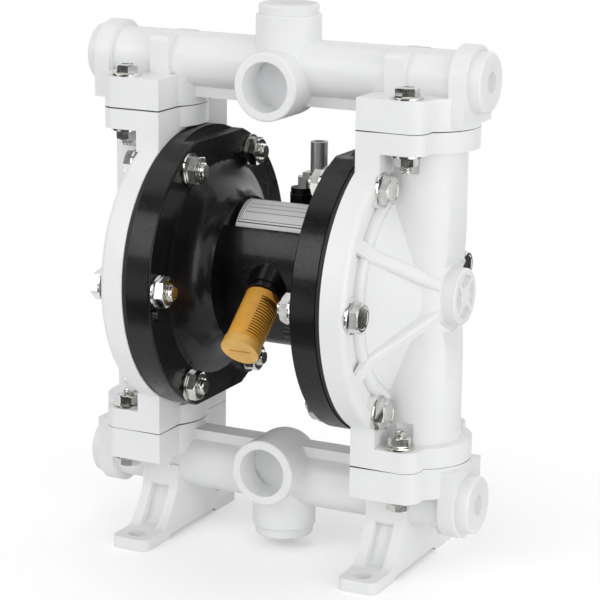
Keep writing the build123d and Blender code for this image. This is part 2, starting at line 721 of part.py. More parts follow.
def centre_block():
    """Oval block that carries the shaft, the air valve and the air ports."""
    oval = Plane.YZ * Ellipse(BLOCK_A, BLOCK_B)
    body = extrude(oval, amount=BLOCK_END_X, both=True)
    body = body + along_muffler(MUFFLER_BOSS_IN, MUFFLER_BOSS_OUT, MUFFLER_BOSS_R)
    body = body + along_muffler(MUFFLER_BOSS_IN, MUFFLER_SEAT, MUFFLER_RING_R)
    body = body - rod("z", INLET_SEAT_Z, BLOCK_B, INLET_PILLAR_R + SPOT_GAP,
                      x=INLET_X, y=INLET_Y)
    body = body + rod("z", INLET_PILLAR_LOW_Z, INLET_SEAT_Z, INLET_PILLAR_R,
                      x=INLET_X, y=INLET_Y)
    body = body - along_muffler(MUFFLER_SEAT, MUFFLER_BOSS_R, MUFFLER_ROOM_R)
    body = body - rod("x", -BLOCK_END_X, BLOCK_END_X, SHAFT_CLEAR_R)
    for sign in (-1, 1):
        end = sign * BLOCK_END_X
        body = body - rod("x", end - sign * BUSH_L, end, BUSH_R + SEAT_FIT)
        for y, z in block_screw_points():
            body = body - rod("x", end - sign * SCREW_DEPTH, end, SCREW_R + SEAT_FIT,
                              y=y, z=z)
    body = body - rod("x", -BLOCK_END_X, BLOCK_END_X, SLEEVE_R + SEAT_FIT, z=SPOOL_Z)
    body = body - rod("x", -BLOCK_END_X, BLOCK_END_X, PILOT_R + RUN_FIT, z=PILOT_Z)
    body = body - along_muffler(MUFFLER_SEAT - MUFFLER_THREAD_L, 0,
                                MUFFLER_THREAD_R + SEAT_FIT)
    body = body - rod("z", SPOOL_Z, INLET_SEAT_Z, INLET_THREAD_R + SEAT_FIT,
                      x=INLET_X, y=INLET_Y)
    return body - rod("y", FEED_START_Y, INLET_Y, FEED_R, x=INLET_X, z=SPOOL_Z)


save("centre_block", centre_block())

bush_in = BLOCK_END_X - BUSH_L
bush = rod("x", bush_in, BLOCK_END_X, BUSH_R)
bush = bush - rod("x", bush_in, BLOCK_END_X, SHAFT_R + RUN_FIT)
save("shaft_bushes", both_sides([bush]))


def cap_screw(y, z):
    """Socket screw driven from inside the air chamber."""
    seat_x = BLOCK_END_X + CASING_WALL
    top_x = seat_x + SCREW_HEAD_H
    head = rod("x", seat_x, top_x, SCREW_HEAD_R, y=y, z=z)
    shank = rod("x", BLOCK_END_X - SCREW_L, seat_x, SCREW_R, y=y, z=z)
    key = hexagon_key(SCREW_KEY_AF, SCREW_KEY_DEPTH, top_x - SCREW_KEY_DEPTH, y, z)
    return head + shank - key


save("casing_screws", both_sides([cap_screw(y, z) for y, z in block_screw_points()]))


# ---- air valve ----------------------------------------------------------------
def valve_sleeve():
    """Ported sleeve that the spool slides in."""
    body = rod("x", -BLOCK_END_X, BLOCK_END_X, SLEEVE_R, z=SPOOL_Z)
    body = body - rod("x", -BLOCK_END_X, BLOCK_END_X, SPOOL_R + RUN_FIT, z=SPOOL_Z)
    for x in SLEEVE_PORTS_X:
        body = body - rod("y", -SLEEVE_R, SLEEVE_R, SLEEVE_PORT_R, x=x, z=SPOOL_Z)
    return body


def valve_spool():
    """Spool with three lands and two waists."""
    body = rod("x", -SPOOL_HALF_L, SPOOL_HALF_L, SPOOL_R, z=SPOOL_Z)
    for sign in (-1, 1):
        start, end = sign * SPOOL_MID_LAND, sign * SPOOL_WAIST_END
        waist = rod("x", start, end, SLEEVE_R, z=SPOOL_Z)
        body = body - (waist - rod("x", start, end, SPOOL_WAIST_R, z=SPOOL_Z))
    return body


save("air_valve_sleeve", valve_sleeve())
save("air_valve_spool", valve_spool())

pilot_reach = INNER_PLATE_X - STROKE + PILOT_RATIO * STROKE - WALL_TOUCH
pilot = rod("x", -pilot_reach, pilot_reach, PILOT_R, z=PILOT_Z)
save("pilot_rod", chamfer(pilot.edges().filter_by(GeomType.CIRCLE), TURNED_EDGE))


# ---- shaft, plates and diaphragms ---------------------------------------------
shaft = rod("x", -INNER_PLATE_X, INNER_PLATE_X, SHAFT_R)
shaft = shaft + rod("x", -OUTER_PLATE_X, OUTER_PLATE_X, STUD_R)
save("main_shaft", shaft)


def plates():
    """Inner and outer clamping plates of one diaphragm."""
    inner = spin([
        (INNER_PLATE_X, STUD_R), (INNER_PLATE_X, PLATE_R - INNER_PLATE_STEP),
        (CASING_FACE_X - INNER_PLATE_RIM, PLATE_R), (CASING_FACE_X, PLATE_R),
        (CASING_FACE_X, STUD_R)])
    outer = spin([
        (OVERLAY_X, STUD_R), (OVERLAY_X, PLATE_R), (OVERLAY_X + OUTER_PLATE_RIM, PLATE_R),
        (OUTER_PLATE_X, PLATE_R - OUTER_PLATE_STEP),
        (PLATE_NOSE_X - CAST_EDGE, PLATE_NOSE_R), (PLATE_NOSE_X, PLATE_NOSE_R - CAST_EDGE),
        (PLATE_NOSE_X, 0), (OUTER_PLATE_X, 0), (OUTER_PLATE_X, STUD_R)])
    return inner, outer


def clamped_rim(start, thickness, radius):
    """Part of a diaphragm layer held between casing and cover."""
    return rod("x", start, start + thickness, radius) - rod(
        "x", start, start + thickness, FLEX_R)


def moving_disc(start, thickness):
    """Part of a diaphragm layer that follows the shaft, with a rolled fold."""
    edge = FLEX_R - WALL_TOUCH
    rise = start + FOLD_RISE
    near = [(start, STUD_R), (start, PLATE_R), (rise, PLATE_R + 2 * FOLD_RISE),
            (rise, edge - 2 * FOLD_RISE), (start, edge)]
    far = [(x + thickness, r) for x, r in reversed(near)]
    return spin(near + far)


inner_plate, outer_plate = plates()
rubber_rim = clamped_rim(CASING_FACE_X, RUBBER_T, FLANGE_R - SPOT_GAP)
for hole in flange_holes(CASING_FACE_X, COVER_FACE_X):
    rubber_rim = rubber_rim - hole
for side, turn in SIDES:
    save(f"inner_plate_{side}", turn(inner_plate))
    save(f"outer_plate_{side}", turn(outer_plate))
    save(f"backup_diaphragm_{side}", turn(moving_disc(CASING_FACE_X, RUBBER_T)))
    save(f"backup_diaphragm_rim_{side}", turn(rubber_rim))
    save(f"overlay_diaphragm_{side}", turn(moving_disc(COVER_FACE_X, PTFE_T)))
    save(f"overlay_diaphragm_rim_{side}",
         turn(clamped_rim(COVER_FACE_X, PTFE_T, OVERLAY_R)))


# ---- muffler ------------------------------------------------------------------
def muffler():
    """Silencer body with rows of fine slots and its threaded stem."""
    end = MUFFLER_L - MUFFLER_CAP_L
    body = along_muffler(0, end, MUFFLER_R)
    body = body + along_muffler(-MUFFLER_THREAD_L, 0, MUFFLER_THREAD_R)
    plain = muffler_axis(end / 2) * Box(2 * MUFFLER_R, 2 * SLOT_SPAN, end)
    for number in range(SLOTS):
        start = SLOT_START + number * SLOT_PITCH
        ring = along_muffler(start, start + SLOT_W, MUFFLER_R)
        ring = ring - along_muffler(start, start + SLOT_W, MUFFLER_R - SLOT_DEPTH)
        body = body - (ring - plain)
    return body - along_muffler(-MUFFLER_THREAD_L, end, MUFFLER_BORE_R)


def muffler_cap():
    """Round end cap with a moulded bar slot."""
    cap = along_muffler(MUFFLER_L - MUFFLER_CAP_L, MUFFLER_L, MUFFLER_CAP_R)
    slot = Box(CAP_BAR_L, CAP_BAR_W, CAP_BAR_DEPTH)
    return cap - muffler_axis(MUFFLER_L - CAP_BAR_DEPTH / 2) * slot


save("muffler_body", muffler())
save("muffler_cap", muffler_cap())


# ---- air inlet ----------------------------------------------------------------
def inlet_adaptor():
    """Black hexagon adaptor screwed into the rear pillar."""
    hex_top = INLET_SEAT_Z + INLET_HEX_H
    at = {"x": INLET_X, "y": INLET_Y}
    body = hexagon_z(INLET_HEX_AF, INLET_HEX_H, INLET_X, INLET_Y, INLET_SEAT_Z)
    body = body + rod("z", hex_top, INLET_TOP_Z, INLET_COLLAR_R, **at)
    body = body + rod("z", INLET_THREAD_LOW_Z, INLET_SEAT_Z, INLET_THREAD_R, **at)
    return body - rod("z", INLET_THREAD_LOW_Z, INLET_TOP_Z, INLET_BORE_R, **at)


def inlet_elbow():
    """Nickel-plated elbow with an upright stem for the air hose."""
    low = INLET_TOP_Z + ELBOW_ARM_LOW
    top = INLET_TOP_Z + ELBOW_ARM_TOP
    at = {"x": INLET_STEM_X, "y": INLET_Y}
    body = hexagon_z(ELBOW_HEX_AF, ELBOW_HEX_H, ELBOW_HEX_X, INLET_Y, INLET_TOP_Z)
    body = body + block((ELBOW_HEX_X, INLET_STEM_X),
                        (INLET_Y - ELBOW_ARM_Y, INLET_Y + ELBOW_ARM_Y), (low, top))
    body = body + rod("z", low, INLET_STEM_FOOT_Z, INLET_KNEE_R, **at)
    body = body + rod("z", low, INLET_STEM_TOP_Z, INLET_STEM_R, **at)
    return body - rod("z", INLET_STEM_FOOT_Z, INLET_STEM_TOP_Z, INLET_STEM_BORE_R, **at)


save("inlet_adaptor", inlet_adaptor())
save("inlet_elbow", inlet_elbow())


# ---- name plate ---------------------------------------------------------------
def name_plate():
    """Thin bare plate wrapped over the front shoulder of the block."""
    outer = Plane.YZ * Ellipse(BLOCK_A + LABEL_T, BLOCK_B + LABEL_T)
    inner = Plane.YZ * Ellipse(BLOCK_A, BLOCK_B)
    shell = extrude(outer, amount=LABEL_HALF_L, both=True)
    shell = shell - extrude(inner, amount=LABEL_HALF_L, both=True)
    window = block((-LABEL_HALF_L, LABEL_HALF_L), (LABEL_LOW_Y, LABEL_HIGH_Y),
                   (0, BLOCK_B + LABEL_T))
    return shell & window


save("name_plate", name_plate())


# ---- hardware -----------------------------------------------------------------
def washer(start, radius, bolt_r, y=0.0):
    """Flat washer laid from its inner face outward."""
    end = start + WASHER_T
    return rod("x", start, end, radius, y=y) - rod(
        "x", start, end, bolt_r + WASHER_HOLE_GAP, y=y)


def hexagon_x(start, height, af, y=0.0):
    """Hexagonal prism along X with its corners broken."""
    prism = Pos(start, y, 0) * Rot(0, 90, 0) * extrude(hexagon(af), amount=height)
    return prism & rod("x", start, start + height, af / 2 + HEX_CORNER, y=y)


def bolt(tip, head, radius, height, af, y=0.0):
    """Hexagon bolt from its tip to the underside of its head."""
    return rod("x", tip, head, radius, y=y) + hexagon_x(head, height, af, y)


def nut(start, height, radius, af, y=0.0):
    """Hexagon nut from its outer face inward."""
    return hexagon_x(start, height, af, y) - rod("x", start, start + height, radius, y=y)


ring_y = -BOLT_CIRCLE_R
nut_x = FLANGE_BACK_X - WASHER_T - M8_NUT_H
flange_bolt = bolt(nut_x - M8_THREAD_OUT, RIM_X + WASHER_T, M8_R, M8_HEAD_H, M8_AF, ring_y)
flange_nut = nut(nut_x, M8_NUT_H, M8_R, M8_AF, ring_y)
flange_washers = []
for start in (RIM_X, FLANGE_BACK_X - WASHER_T):
    flange_washers += round_bolts(washer(start, M8_WASHER_R, M8_R, ring_y))
save("flange_bolts", both_sides(round_bolts(flange_bolt)))
save("flange_nuts", both_sides(round_bolts(flange_nut)))
save("flange_washers", both_sides(flange_washers))


def manifold_joints(shape):
    """Copies of one upright fastener, drawn along X, at all eight pad bolts."""
    upright = Rot(0, -90, 0) * shape
    right = [Pos(x, y, 0) * upright for x, y in pad_bolt_points()]
    right = right + [flip_z(s) for s in right]
    return both_sides(right)


flange_top = SEAM_Z + MANIFOLD_FLANGE_T
nut_z = SEAM_Z - PAD_T - WASHER_T - M6_NUT_H
manifold_bolt = bolt(nut_z - M6_THREAD_OUT, flange_top + WASHER_T, M6_R, M6_HEAD_H, M6_AF)
manifold_washers = []
for start in (flange_top, SEAM_Z - PAD_T - WASHER_T):
    manifold_washers += manifold_joints(washer(start, M6_WASHER_R, M6_R))
save("manifold_bolts", manifold_joints(manifold_bolt))
save("manifold_nuts", manifold_joints(nut(nut_z, M6_NUT_H, M6_R, M6_AF)))
save("manifold_washers", manifold_washers)
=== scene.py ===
import json
import math

import bmesh
import bpy
from mathutils import Matrix, Vector


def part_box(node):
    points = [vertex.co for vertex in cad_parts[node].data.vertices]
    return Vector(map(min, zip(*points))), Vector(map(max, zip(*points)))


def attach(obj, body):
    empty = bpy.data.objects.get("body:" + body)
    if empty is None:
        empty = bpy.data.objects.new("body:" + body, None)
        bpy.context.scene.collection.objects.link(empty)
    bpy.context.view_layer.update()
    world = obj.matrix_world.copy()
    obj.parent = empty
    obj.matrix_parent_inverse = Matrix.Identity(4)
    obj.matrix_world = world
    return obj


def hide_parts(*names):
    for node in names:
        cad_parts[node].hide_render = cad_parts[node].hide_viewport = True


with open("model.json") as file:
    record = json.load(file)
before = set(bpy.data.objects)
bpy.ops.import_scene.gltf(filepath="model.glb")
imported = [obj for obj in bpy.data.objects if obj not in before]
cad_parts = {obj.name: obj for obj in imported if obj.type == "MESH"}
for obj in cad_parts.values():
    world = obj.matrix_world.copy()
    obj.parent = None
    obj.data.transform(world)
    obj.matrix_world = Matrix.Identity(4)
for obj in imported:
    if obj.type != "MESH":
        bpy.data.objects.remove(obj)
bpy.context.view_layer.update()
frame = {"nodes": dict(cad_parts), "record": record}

# The pump's CAD nodes with materials and rounded edges, detailed fasteners in place of
# the plain ones, a pale floor, studio light and the photograph's camera. Metres, except
# in the fastener meshes, which are drawn in millimetres.

MM = 0.001
NODES = frame["nodes"]
SLOT_OF = {row["node"]: row["material_slot"] for row in frame["record"]["subparts"]}


def middle(name):
    """Middle of a node's box."""
    low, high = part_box(name)
    return (low + high) / 2


# ---- places read from the frame -------------------------------------------------
SHAFT_Z = middle("main_shaft").z
PAD_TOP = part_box("fluid_cover_right")[1].z
FLANGE_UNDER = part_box("discharge_manifold")[0].z
SEAM = (FLANGE_UNDER + PAD_TOP) / 2 - SHAFT_Z     # from the shaft to the pads' joint
BODY_CENTRE = middle("muffler_body")
CAP_CENTRE = middle("muffler_cap")
MUFFLER_RUN = (CAP_CENTRE - BODY_CENTRE).normalized()


# ---- node helpers ---------------------------------------------------------------
class Shader:
    """A material being built round one Principled shader."""

    def __init__(self, name, color, roughness, metallic=0.0, **extra):
        self.material = bpy.data.materials.new(name)
        self.material.use_nodes = True
        self.tree = self.material.node_tree
        self.shader = self.tree.nodes["Principled BSDF"]
        self.set("Base Color", (*color, 1.0))
        self.set("Roughness", roughness)
        self.set("Metallic", metallic)
        for socket, value in extra.items():
            self.set(socket.replace("_", " "), value)
        self.place = self.add("ShaderNodeTexCoord").outputs["Object"]

    def add(self, kind, **settings):
        node = self.tree.nodes.new(kind)
        for key, value in settings.items():
            setattr(node, key, value)
        return node

    def set(self, socket, value):
        """A plain value on the shader itself."""
        self.shader.inputs[socket].default_value = value

    def drive(self, socket, output):
        """A shader input that varies over the surface."""
        self.feed(self.shader.inputs[socket], output)

    def feed(self, socket, value):
        """A value or another node's output into a socket."""
        if isinstance(value, bpy.types.NodeSocket):
            self.tree.links.new(value, socket)
        else:
            socket.default_value = value

    def noise(self, scale, detail=3.0):
        """Noise from zero to one, its scale in features per metre."""
        node = self.add("ShaderNodeTexNoise")
        node.inputs["Scale"].default_value = scale
        node.inputs["Detail"].default_value = detail
        self.feed(node.inputs["Vector"], self.place)
        return node.outputs["Fac"]

    def ramp(self, value, low, high, start=0.35, end=0.65):
        """Low below the start, high above the end, and even between them."""
        node = self.add("ShaderNodeMapRange")
        node.inputs["From Min"].default_value = start
        node.inputs["From Max"].default_value = end
        node.inputs["To Min"].default_value = low
        node.inputs["To Max"].default_value = high
        self.feed(node.inputs["Value"], value)
        return node.outputs["Result"]

    def tint(self, value, first, second):
        """Base colour between two colours, the first of which may be a node's output."""
        node = self.add("ShaderNodeMix", data_type="RGBA")
        first_socket, second_socket = [s for s in node.inputs if s.type == "RGBA"]
        linked = isinstance(first, bpy.types.NodeSocket)
        self.feed(first_socket, first if linked else (*first, 1.0))
        self.feed(second_socket, (*second, 1.0))
        self.feed(node.inputs["Factor"], value)
        mixed = next(s for s in node.outputs if s.type == "RGBA")
        self.drive("Base Color", mixed)
        return mixed

    def math(self, operation, first, second=0.0):
        """One sum on two values, each a number or a node's output."""
        node = self.add("ShaderNodeMath", operation=operation)
        self.feed(node.inputs[0], first)
        self.feed(node.inputs[1], second)
        return node.outputs[0]

    def vector(self, operation, first, second=(0.0, 0.0, 0.0)):
        """One step on two vectors, the first of them a node's output."""
        node = self.add("ShaderNodeVectorMath", operation=operation)
        self.feed(node.inputs[0], first)
        self.feed(node.inputs[1], second)
        return node.outputs["Value" if operation == "LENGTH" else "Vector"]

    def line(self, value, place, width):
        """One inside a narrow line round a place, zero elsewhere."""
        gap = self.math("ABSOLUTE", self.math("SUBTRACT", value, place))
        return self.math("LESS_THAN", gap, width / 2)

    def axes(self):
        """X, Y and Z of the shaded point."""
        split = self.add("ShaderNodeSeparateXYZ")
        self.feed(split.inputs[0], self.place)
        return split.outputs

    def bump(self, *layers):
        """Bumps from (value, height) layers, one over the other."""
        normal = None
        for value, height in layers:
            node = self.add("ShaderNodeBump")
            node.inputs["Strength"].default_value = 1.0
            node.inputs["Distance"].default_value = height
            self.feed(node.inputs["Height"], value)
            if normal:
                self.feed(node.inputs["Normal"], normal)
            normal = node.outputs["Normal"]
        self.drive("Normal", normal)


# ---- white plastic, with painted shade in the open joint under the flanges -------
JOINT_GAP = 0.35 * MM     # the open line's greatest half width
JOINT_CLOSED = 0.3        # share of it that is left where the joint is tightest
JOINT_WAVE = 16.0         # how often it opens and closes, per metre
JOINT_SHADE = (0.05, 0.05, 0.05)
PAD_START = 45.0 * MM     # the open line runs round the pads, not round the ports


def polypropylene(name, light, dark):
    """Satin moulded plastic with a faint orange peel, slow colour drift and painted shade along the
    open joint.
    """
    m = Shader(name, light, 0.4, Subsurface_Weight=0.06, Subsurface_Scale=4.0 * MM)
    drift = m.tint(m.ramp(m.noise(28.0, 4.0), 0.0, 1.0), dark, light)
    spot = m.axes()
    from_shaft = m.math("ABSOLUTE", m.math("SUBTRACT", spot["Z"], SHAFT_Z))
    at_pads = m.math("GREATER_THAN", m.math("ABSOLUTE", spot["X"]), PAD_START)
    half_gap = m.ramp(m.noise(JOINT_WAVE, 1.0), JOINT_CLOSED * JOINT_GAP, JOINT_GAP, 0.44, 0.56)
    off_seam = m.math("ABSOLUTE", m.math("SUBTRACT", from_shaft, SEAM))
    painted_joint_shade = m.math("MULTIPLY", m.math("LESS_THAN", off_seam, half_gap), at_pads)
    # painted shade: a dark line where the gap between flange and pad would fall in shade
    m.tint(painted_joint_shade, drift, JOINT_SHADE)
    m.drive("Roughness", m.ramp(m.noise(60.0, 5.0), 0.34, 0.48))
    m.bump((m.noise(1400.0, 2.0), 0.025 * MM), (m.noise(80.0, 2.0), 0.1 * MM))
    return m.material


# ---- the other materials ---------------------------------------------------------
def black_paint():
    """Gloss black paint over cast metal, with a soft orange peel and a few grains."""
    m = Shader("black_paint", (0.005, 0.005, 0.006), 0.3, Coat_Weight=0.3,
               Coat_Roughness=0.1, Specular_IOR_Level=0.22)
    m.drive("Roughness", m.ramp(m.noise(50.0), 0.26, 0.38))
    grains = m.ramp(m.noise(620.0, 4.0), 0.0, 1.0, 0.58, 0.72)
    m.bump((m.noise(300.0), 0.09 * MM), (m.noise(45.0, 2.0), 0.4 * MM), (grains, 0.06 * MM))
    return m.material


def zinc_steel():
    """Bright plated steel with light handling marks."""
    m = Shader("zinc_steel", (0.78, 0.77, 0.74), 0.2, metallic=1.0)
    m.tint(m.ramp(m.noise(220.0), 0.0, 1.0), (0.68, 0.67, 0.64), (0.82, 0.81, 0.79))
    m.drive("Roughness", m.ramp(m.noise(400.0), 0.12, 0.2))
    m.bump((m.noise(900.0, 2.0), 0.002 * MM))
    return m.material


GRAIN = 700.0             # fine grain of moulded and turned surfaces, per metre
GRAIN_HEIGHT = 0.02 * MM
DARKER = 0.88             # how dark the slow drift goes


def plain(name, color, roughness, metallic=0.0):
    """One colour with a fine grain and a slow drift."""
    m = Shader(name, color, roughness, metallic)
    m.tint(m.ramp(m.noise(GRAIN / 6), 0.0, 1.0), [c * DARKER for c in color], color)
    m.bump((m.noise(GRAIN), GRAIN_HEIGHT))
    return m.material


SLOT_FLOOR = 8.7 * MM     # radius inside which the silencer's slots are in shade
SLOT_SHADE = (0.20, 0.08, 0.01)


def slotted_orange():
    """Moulded orange plastic whose narrow slots carry painted shade below the surface."""
    m = Shader("muffler_orange", (0.80, 0.41, 0.07), 0.42)
    drift = m.tint(m.ramp(m.noise(110.0), 0.0, 1.0), (0.80, 0.37, 0.04), (0.90, 0.46, 0.07))
    from_cap = m.vector("SUBTRACT", m.place, CAP_CENTRE)
    radius = m.vector("LENGTH", m.vector("CROSS_PRODUCT", from_cap, MUFFLER_RUN))
    # painted shade: points inside the slot floor's radius take the dark slot colour
    m.tint(m.math("LESS_THAN", radius, SLOT_FLOOR), drift, SLOT_SHADE)
    m.bump((m.noise(GRAIN), GRAIN_HEIGHT))
    return m.material


BORDERS = ((0.8 * MM, 0.35 * MM), (1.7 * MM, 0.2 * MM))     # inset and width of each
RULES = (-3.2 * MM, -0.6 * MM, 2.0 * MM)                    # from the plate's middle
RULE_WIDTH = 0.22 * MM
RULE_INSET = 3.0 * MM


def foil_plate():
    """Bare printed foil: a double border and blank ruled lines, no wording."""
    m = Shader("plate_label", (0.7, 0.7, 0.7), 0.35, 0.35)
    low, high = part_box("name_plate")
    half_x, half_y = (high.x - low.x) / 2, (high.y - low.y) / 2
    spot = m.axes()
    across = m.math("ABSOLUTE", spot["X"])
    from_middle = m.math("SUBTRACT", spot["Y"], middle("name_plate").y)
    edge = m.math("MINIMUM", m.math("SUBTRACT", half_x, across),
                  m.math("SUBTRACT", half_y, m.math("ABSOLUTE", from_middle)))
    inside = m.math("GREATER_THAN", edge, RULE_INSET)
    lines = [m.line(edge, inset, width) for inset, width in BORDERS]
    lines += [m.math("MULTIPLY", m.line(from_middle, place, RULE_WIDTH), inside)
              for place in RULES]
    ink = lines[0]
    for line in lines[1:]:
        ink = m.math("MAXIMUM", ink, line)
    m.tint(ink, (0.82, 0.82, 0.81), (0.05, 0.05, 0.05))
    m.drive("Roughness", m.ramp(m.noise(300.0), 0.5, 0.8, 0.0, 1.0))
    return m.material


LOOKS = {
    "polypropylene_white": polypropylene("polypropylene", (0.88, 0.885, 0.89), (0.84, 0.845, 0.85)),
    "plug_white": polypropylene("plug_plastic", (0.87, 0.875, 0.88), (0.82, 0.825, 0.83)),
    "black_paint": black_paint(),
    "plate_steel": plain("plate_steel", (0.6, 0.6, 0.6), 0.3, 1.0),
    "plate_plastic": plain("plate_plastic", (0.8, 0.8, 0.78), 0.5),
    "rubber_black": plain("rubber_black", (0.02, 0.02, 0.02), 0.6),
    "ptfe_white": plain("ptfe_white", (0.85, 0.85, 0.83), 0.45),
    "seat_plastic": plain("seat_plastic", (0.8, 0.8, 0.78), 0.45),
    "bush_plastic": plain("bush_plastic", (0.7, 0.66, 0.55), 0.4),
    "sleeve_brass": plain("sleeve_brass", (0.75, 0.58, 0.28), 0.3, 1.0),
    "spool_aluminium": plain("spool_aluminium", (0.7, 0.7, 0.72), 0.3, 1.0),
    "shaft_steel": plain("shaft_steel", (0.65, 0.65, 0.66), 0.2, 1.0),
    "hardware_steel": zinc_steel(),
    "nickel": plain("nickel", (0.80, 0.79, 0.77), 0.3, 0.85),
    "muffler_orange": slotted_orange(),
    "plate_label": foil_plate(),
}
LOOKS_OF_NODE = {"muffler_cap": plain("cap_orange", (0.86, 0.50, 0.12), 0.4)}

for name, node in NODES.items():
    node.data.materials.clear()
    node.data.materials.append(LOOKS_OF_NODE.get(name, LOOKS[SLOT_OF[name]]))

# ---- softened edges on the mouldings and castings ---------------------------------
EDGE_WIDTH = {
    "polypropylene_white": 0.7 * MM,
    "black_paint": 0.6 * MM,
    "plug_white": 0.35 * MM,
    "muffler_orange": 0.15 * MM,
    "nickel": 0.3 * MM,
    "rubber_black": 0.3 * MM,
}
EDGE_ANGLE = math.radians(35)     # edges that turn by more than this are rounded
WELD_GAP = 0.02 * MM


def soften(node, width):
    """Rounded edges and even shading on a CAD node."""
    weld = node.modifiers.new("weld", "WELD")
    weld.merge_threshold = WELD_GAP
    bevel = node.modifiers.new("bevel", "BEVEL")
    bevel.limit_method = "ANGLE"
    bevel.angle_limit = EDGE_ANGLE
    bevel.width = width
    bevel.segments = 2
    bevel.use_clamp_overlap = True
    bevel.harden_normals = False
    normals = node.modifiers.new("normals", "WEIGHTED_NORMAL")
    normals.keep_sharp = False
    for face in node.data.polygons:
        face.use_smooth = True


for name, node in NODES.items():
    if SLOT_OF[name] in EDGE_WIDTH:
        soften(node, EDGE_WIDTH[SLOT_OF[name]])

# ---- silencer body, its slots turned to the sides ----------------------------------
SLOT_TURN = math.radians(110)

plain_body = NODES["muffler_body"]
turned_body = plain_body.copy()
turned_body.name = "slotted_muffler"
turned_body.data = plain_body.data.copy()
turned_body.parent = None
turned_body.matrix_world = (
    Matrix.Translation(CAP_CENTRE) @ Matrix.Rotation(SLOT_TURN, 4, MUFFLER_RUN)
    @ Matrix.Translation(-CAP_CENTRE) @ plain_body.matrix_world)
bpy.context.collection.objects.link(turned_body)
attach(turned_body, "housing")
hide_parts("muffler_body")

# ---- meshes of the detailed fasteners, all sizes in millimetres ----------------------
SEGMENTS = 48
TURNS = [2 * math.pi * i / SEGMENTS for i in range(SEGMENTS)]
SIDE_DEGREES = 60                # from one side of a hexagon to the next
SIDE_TURN = math.radians(SIDE_DEGREES)

CHAMFER_SLOPE = math.tan(math.radians(30))
CHAMFER_INSET = 0.25             # the flat end of a hexagon stays this far inside its sides
DISH_EDGE, DISH_FLOOR = 1.1, 1.5     # the dished head's edge and floor, from its sides
DISH_DEPTH = 0.25
THREAD_LENGTH = 22.0
THREAD_DEPTH = 0.55              # share of the pitch
THREAD_PROFILE = ((0.06, 1), (0.44, 0), (0.56, 0), (0.94, 1))     # share of pitch and depth
RUN_OUT = 0.3                    # from the last thread to the full shank
TIP_LENGTH, TIP_DROP = 0.6, 0.9
SINK_WIDTH, SINK_DEPTH = 0.35, 0.4     # countersink at both ends of a nut
NUT_PLAY = 0.02
WASHER_PLAY = 0.3
WASHER_ROUND = 0.35


def ring(mesh, radii, heights):
    """One ring of vertices from a radius and a height for every segment."""
    return [mesh.verts.new((r * math.cos(a) * MM, r * math.sin(a) * MM, h * MM))
            for a, r, h in zip(TURNS, radii, heights)]


def flat_ring(mesh, radius, height):
    """One round ring at a height."""
    return ring(mesh, [radius] * SEGMENTS, [height] * SEGMENTS)


def bridge(mesh, rings):
    """Faces between each ring and the next."""
    for low, high in zip(rings, rings[1:]):
        for i in range(SEGMENTS):
            j = (i + 1) % SEGMENTS
            mesh.faces.new((low[i], low[j], high[j], high[i]))


def hexagon_rings(mesh, af, height, chamfer_low):
    """Rings of a hexagon on zero with chamfered corners at its upper or both ends."""
    half = SIDE_TURN / 2
    radii = [af / 2 / math.cos((a + half) % SIDE_TURN - half) for a in TURNS]
    end_r = af / 2 - CHAMFER_INSET
    drops = [(r - end_r) * CHAMFER_SLOPE for r in radii]
    if chamfer_low:
        rings = [flat_ring(mesh, end_r, 0.0), ring(mesh, radii, drops)]
    else:
        rings = [ring(mesh, radii, [0.0] * SEGMENTS)]
    rings.append(ring(mesh, radii, [height - drop for drop in drops]))
    rings.append(flat_ring(mesh, end_r, height))
    return rings


def thread_rings(mesh, radius, pitch, low, high):
    """Rings of a thread between two heights."""
    depth = THREAD_DEPTH * pitch
    count = int((high - low) / pitch)
    start = high - count * pitch
    rings = [flat_ring(mesh, radius - depth, low)]
    for turn in range(count):
        for share, inward in THREAD_PROFILE:
            height = start + turn * pitch + share * pitch
            rings.append(flat_ring(mesh, radius - inward * depth, height))
    return rings


def bolt_mesh(size, length):
    """Hexagon bolt standing on its head: head above zero, shank below."""
    mesh = bmesh.new()
    side, head, radius = size["af"] / 2, size["head"], size["radius"]
    hexagon = hexagon_rings(mesh, size["af"], head, False)
    dish = [hexagon[-1], flat_ring(mesh, side - DISH_EDGE, head),
            flat_ring(mesh, side - DISH_FLOOR, head - DISH_DEPTH)]
    thread_top = THREAD_LENGTH - length
    shank = [flat_ring(mesh, radius - TIP_DROP, -length)]
    shank += thread_rings(mesh, radius, size["pitch"], TIP_LENGTH - length, thread_top)
    shank += [flat_ring(mesh, radius, thread_top + RUN_OUT), flat_ring(mesh, radius, 0.0)]
    for rings in (hexagon, dish, shank):
        bridge(mesh, rings)
    mesh.faces.new(dish[-1])
    mesh.faces.new(list(reversed(shank[0])))
    mesh.faces.new(list(reversed(hexagon[0])))
    return mesh


def nut_mesh(size):
    """Hexagon nut standing on zero with a countersunk bore."""
    mesh = bmesh.new()
    height, bore = size["nut"], size["radius"] + NUT_PLAY
    sink = size["radius"] + SINK_WIDTH
    rings = hexagon_rings(mesh, size["af"], height, True)
    rings += [flat_ring(mesh, sink, height), flat_ring(mesh, bore, height - SINK_DEPTH),
              flat_ring(mesh, bore, SINK_DEPTH), flat_ring(mesh, sink, 0.0)]
    bridge(mesh, rings + [rings[0]])
    return mesh


def washer_mesh(size, thick):
    """Flat washer with its outer edge rounded over on one side."""
    mesh = bmesh.new()
    outer, bore = size["washer"], size["radius"] + WASHER_PLAY
    rings = [flat_ring(mesh, bore, 0.0), flat_ring(mesh, outer, 0.0),
             flat_ring(mesh, outer, thick - WASHER_ROUND),
             flat_ring(mesh, outer - WASHER_ROUND, thick), flat_ring(mesh, bore, thick)]
    bridge(mesh, rings + [rings[0]])
    return mesh


# ---- where the CAD has its fasteners -------------------------------------------------
MERGE_GAP = 0.01 * MM
SPIN_CURVE, SPIN_STEP = 37, 11     # degrees, with no factor in common with a side's 60


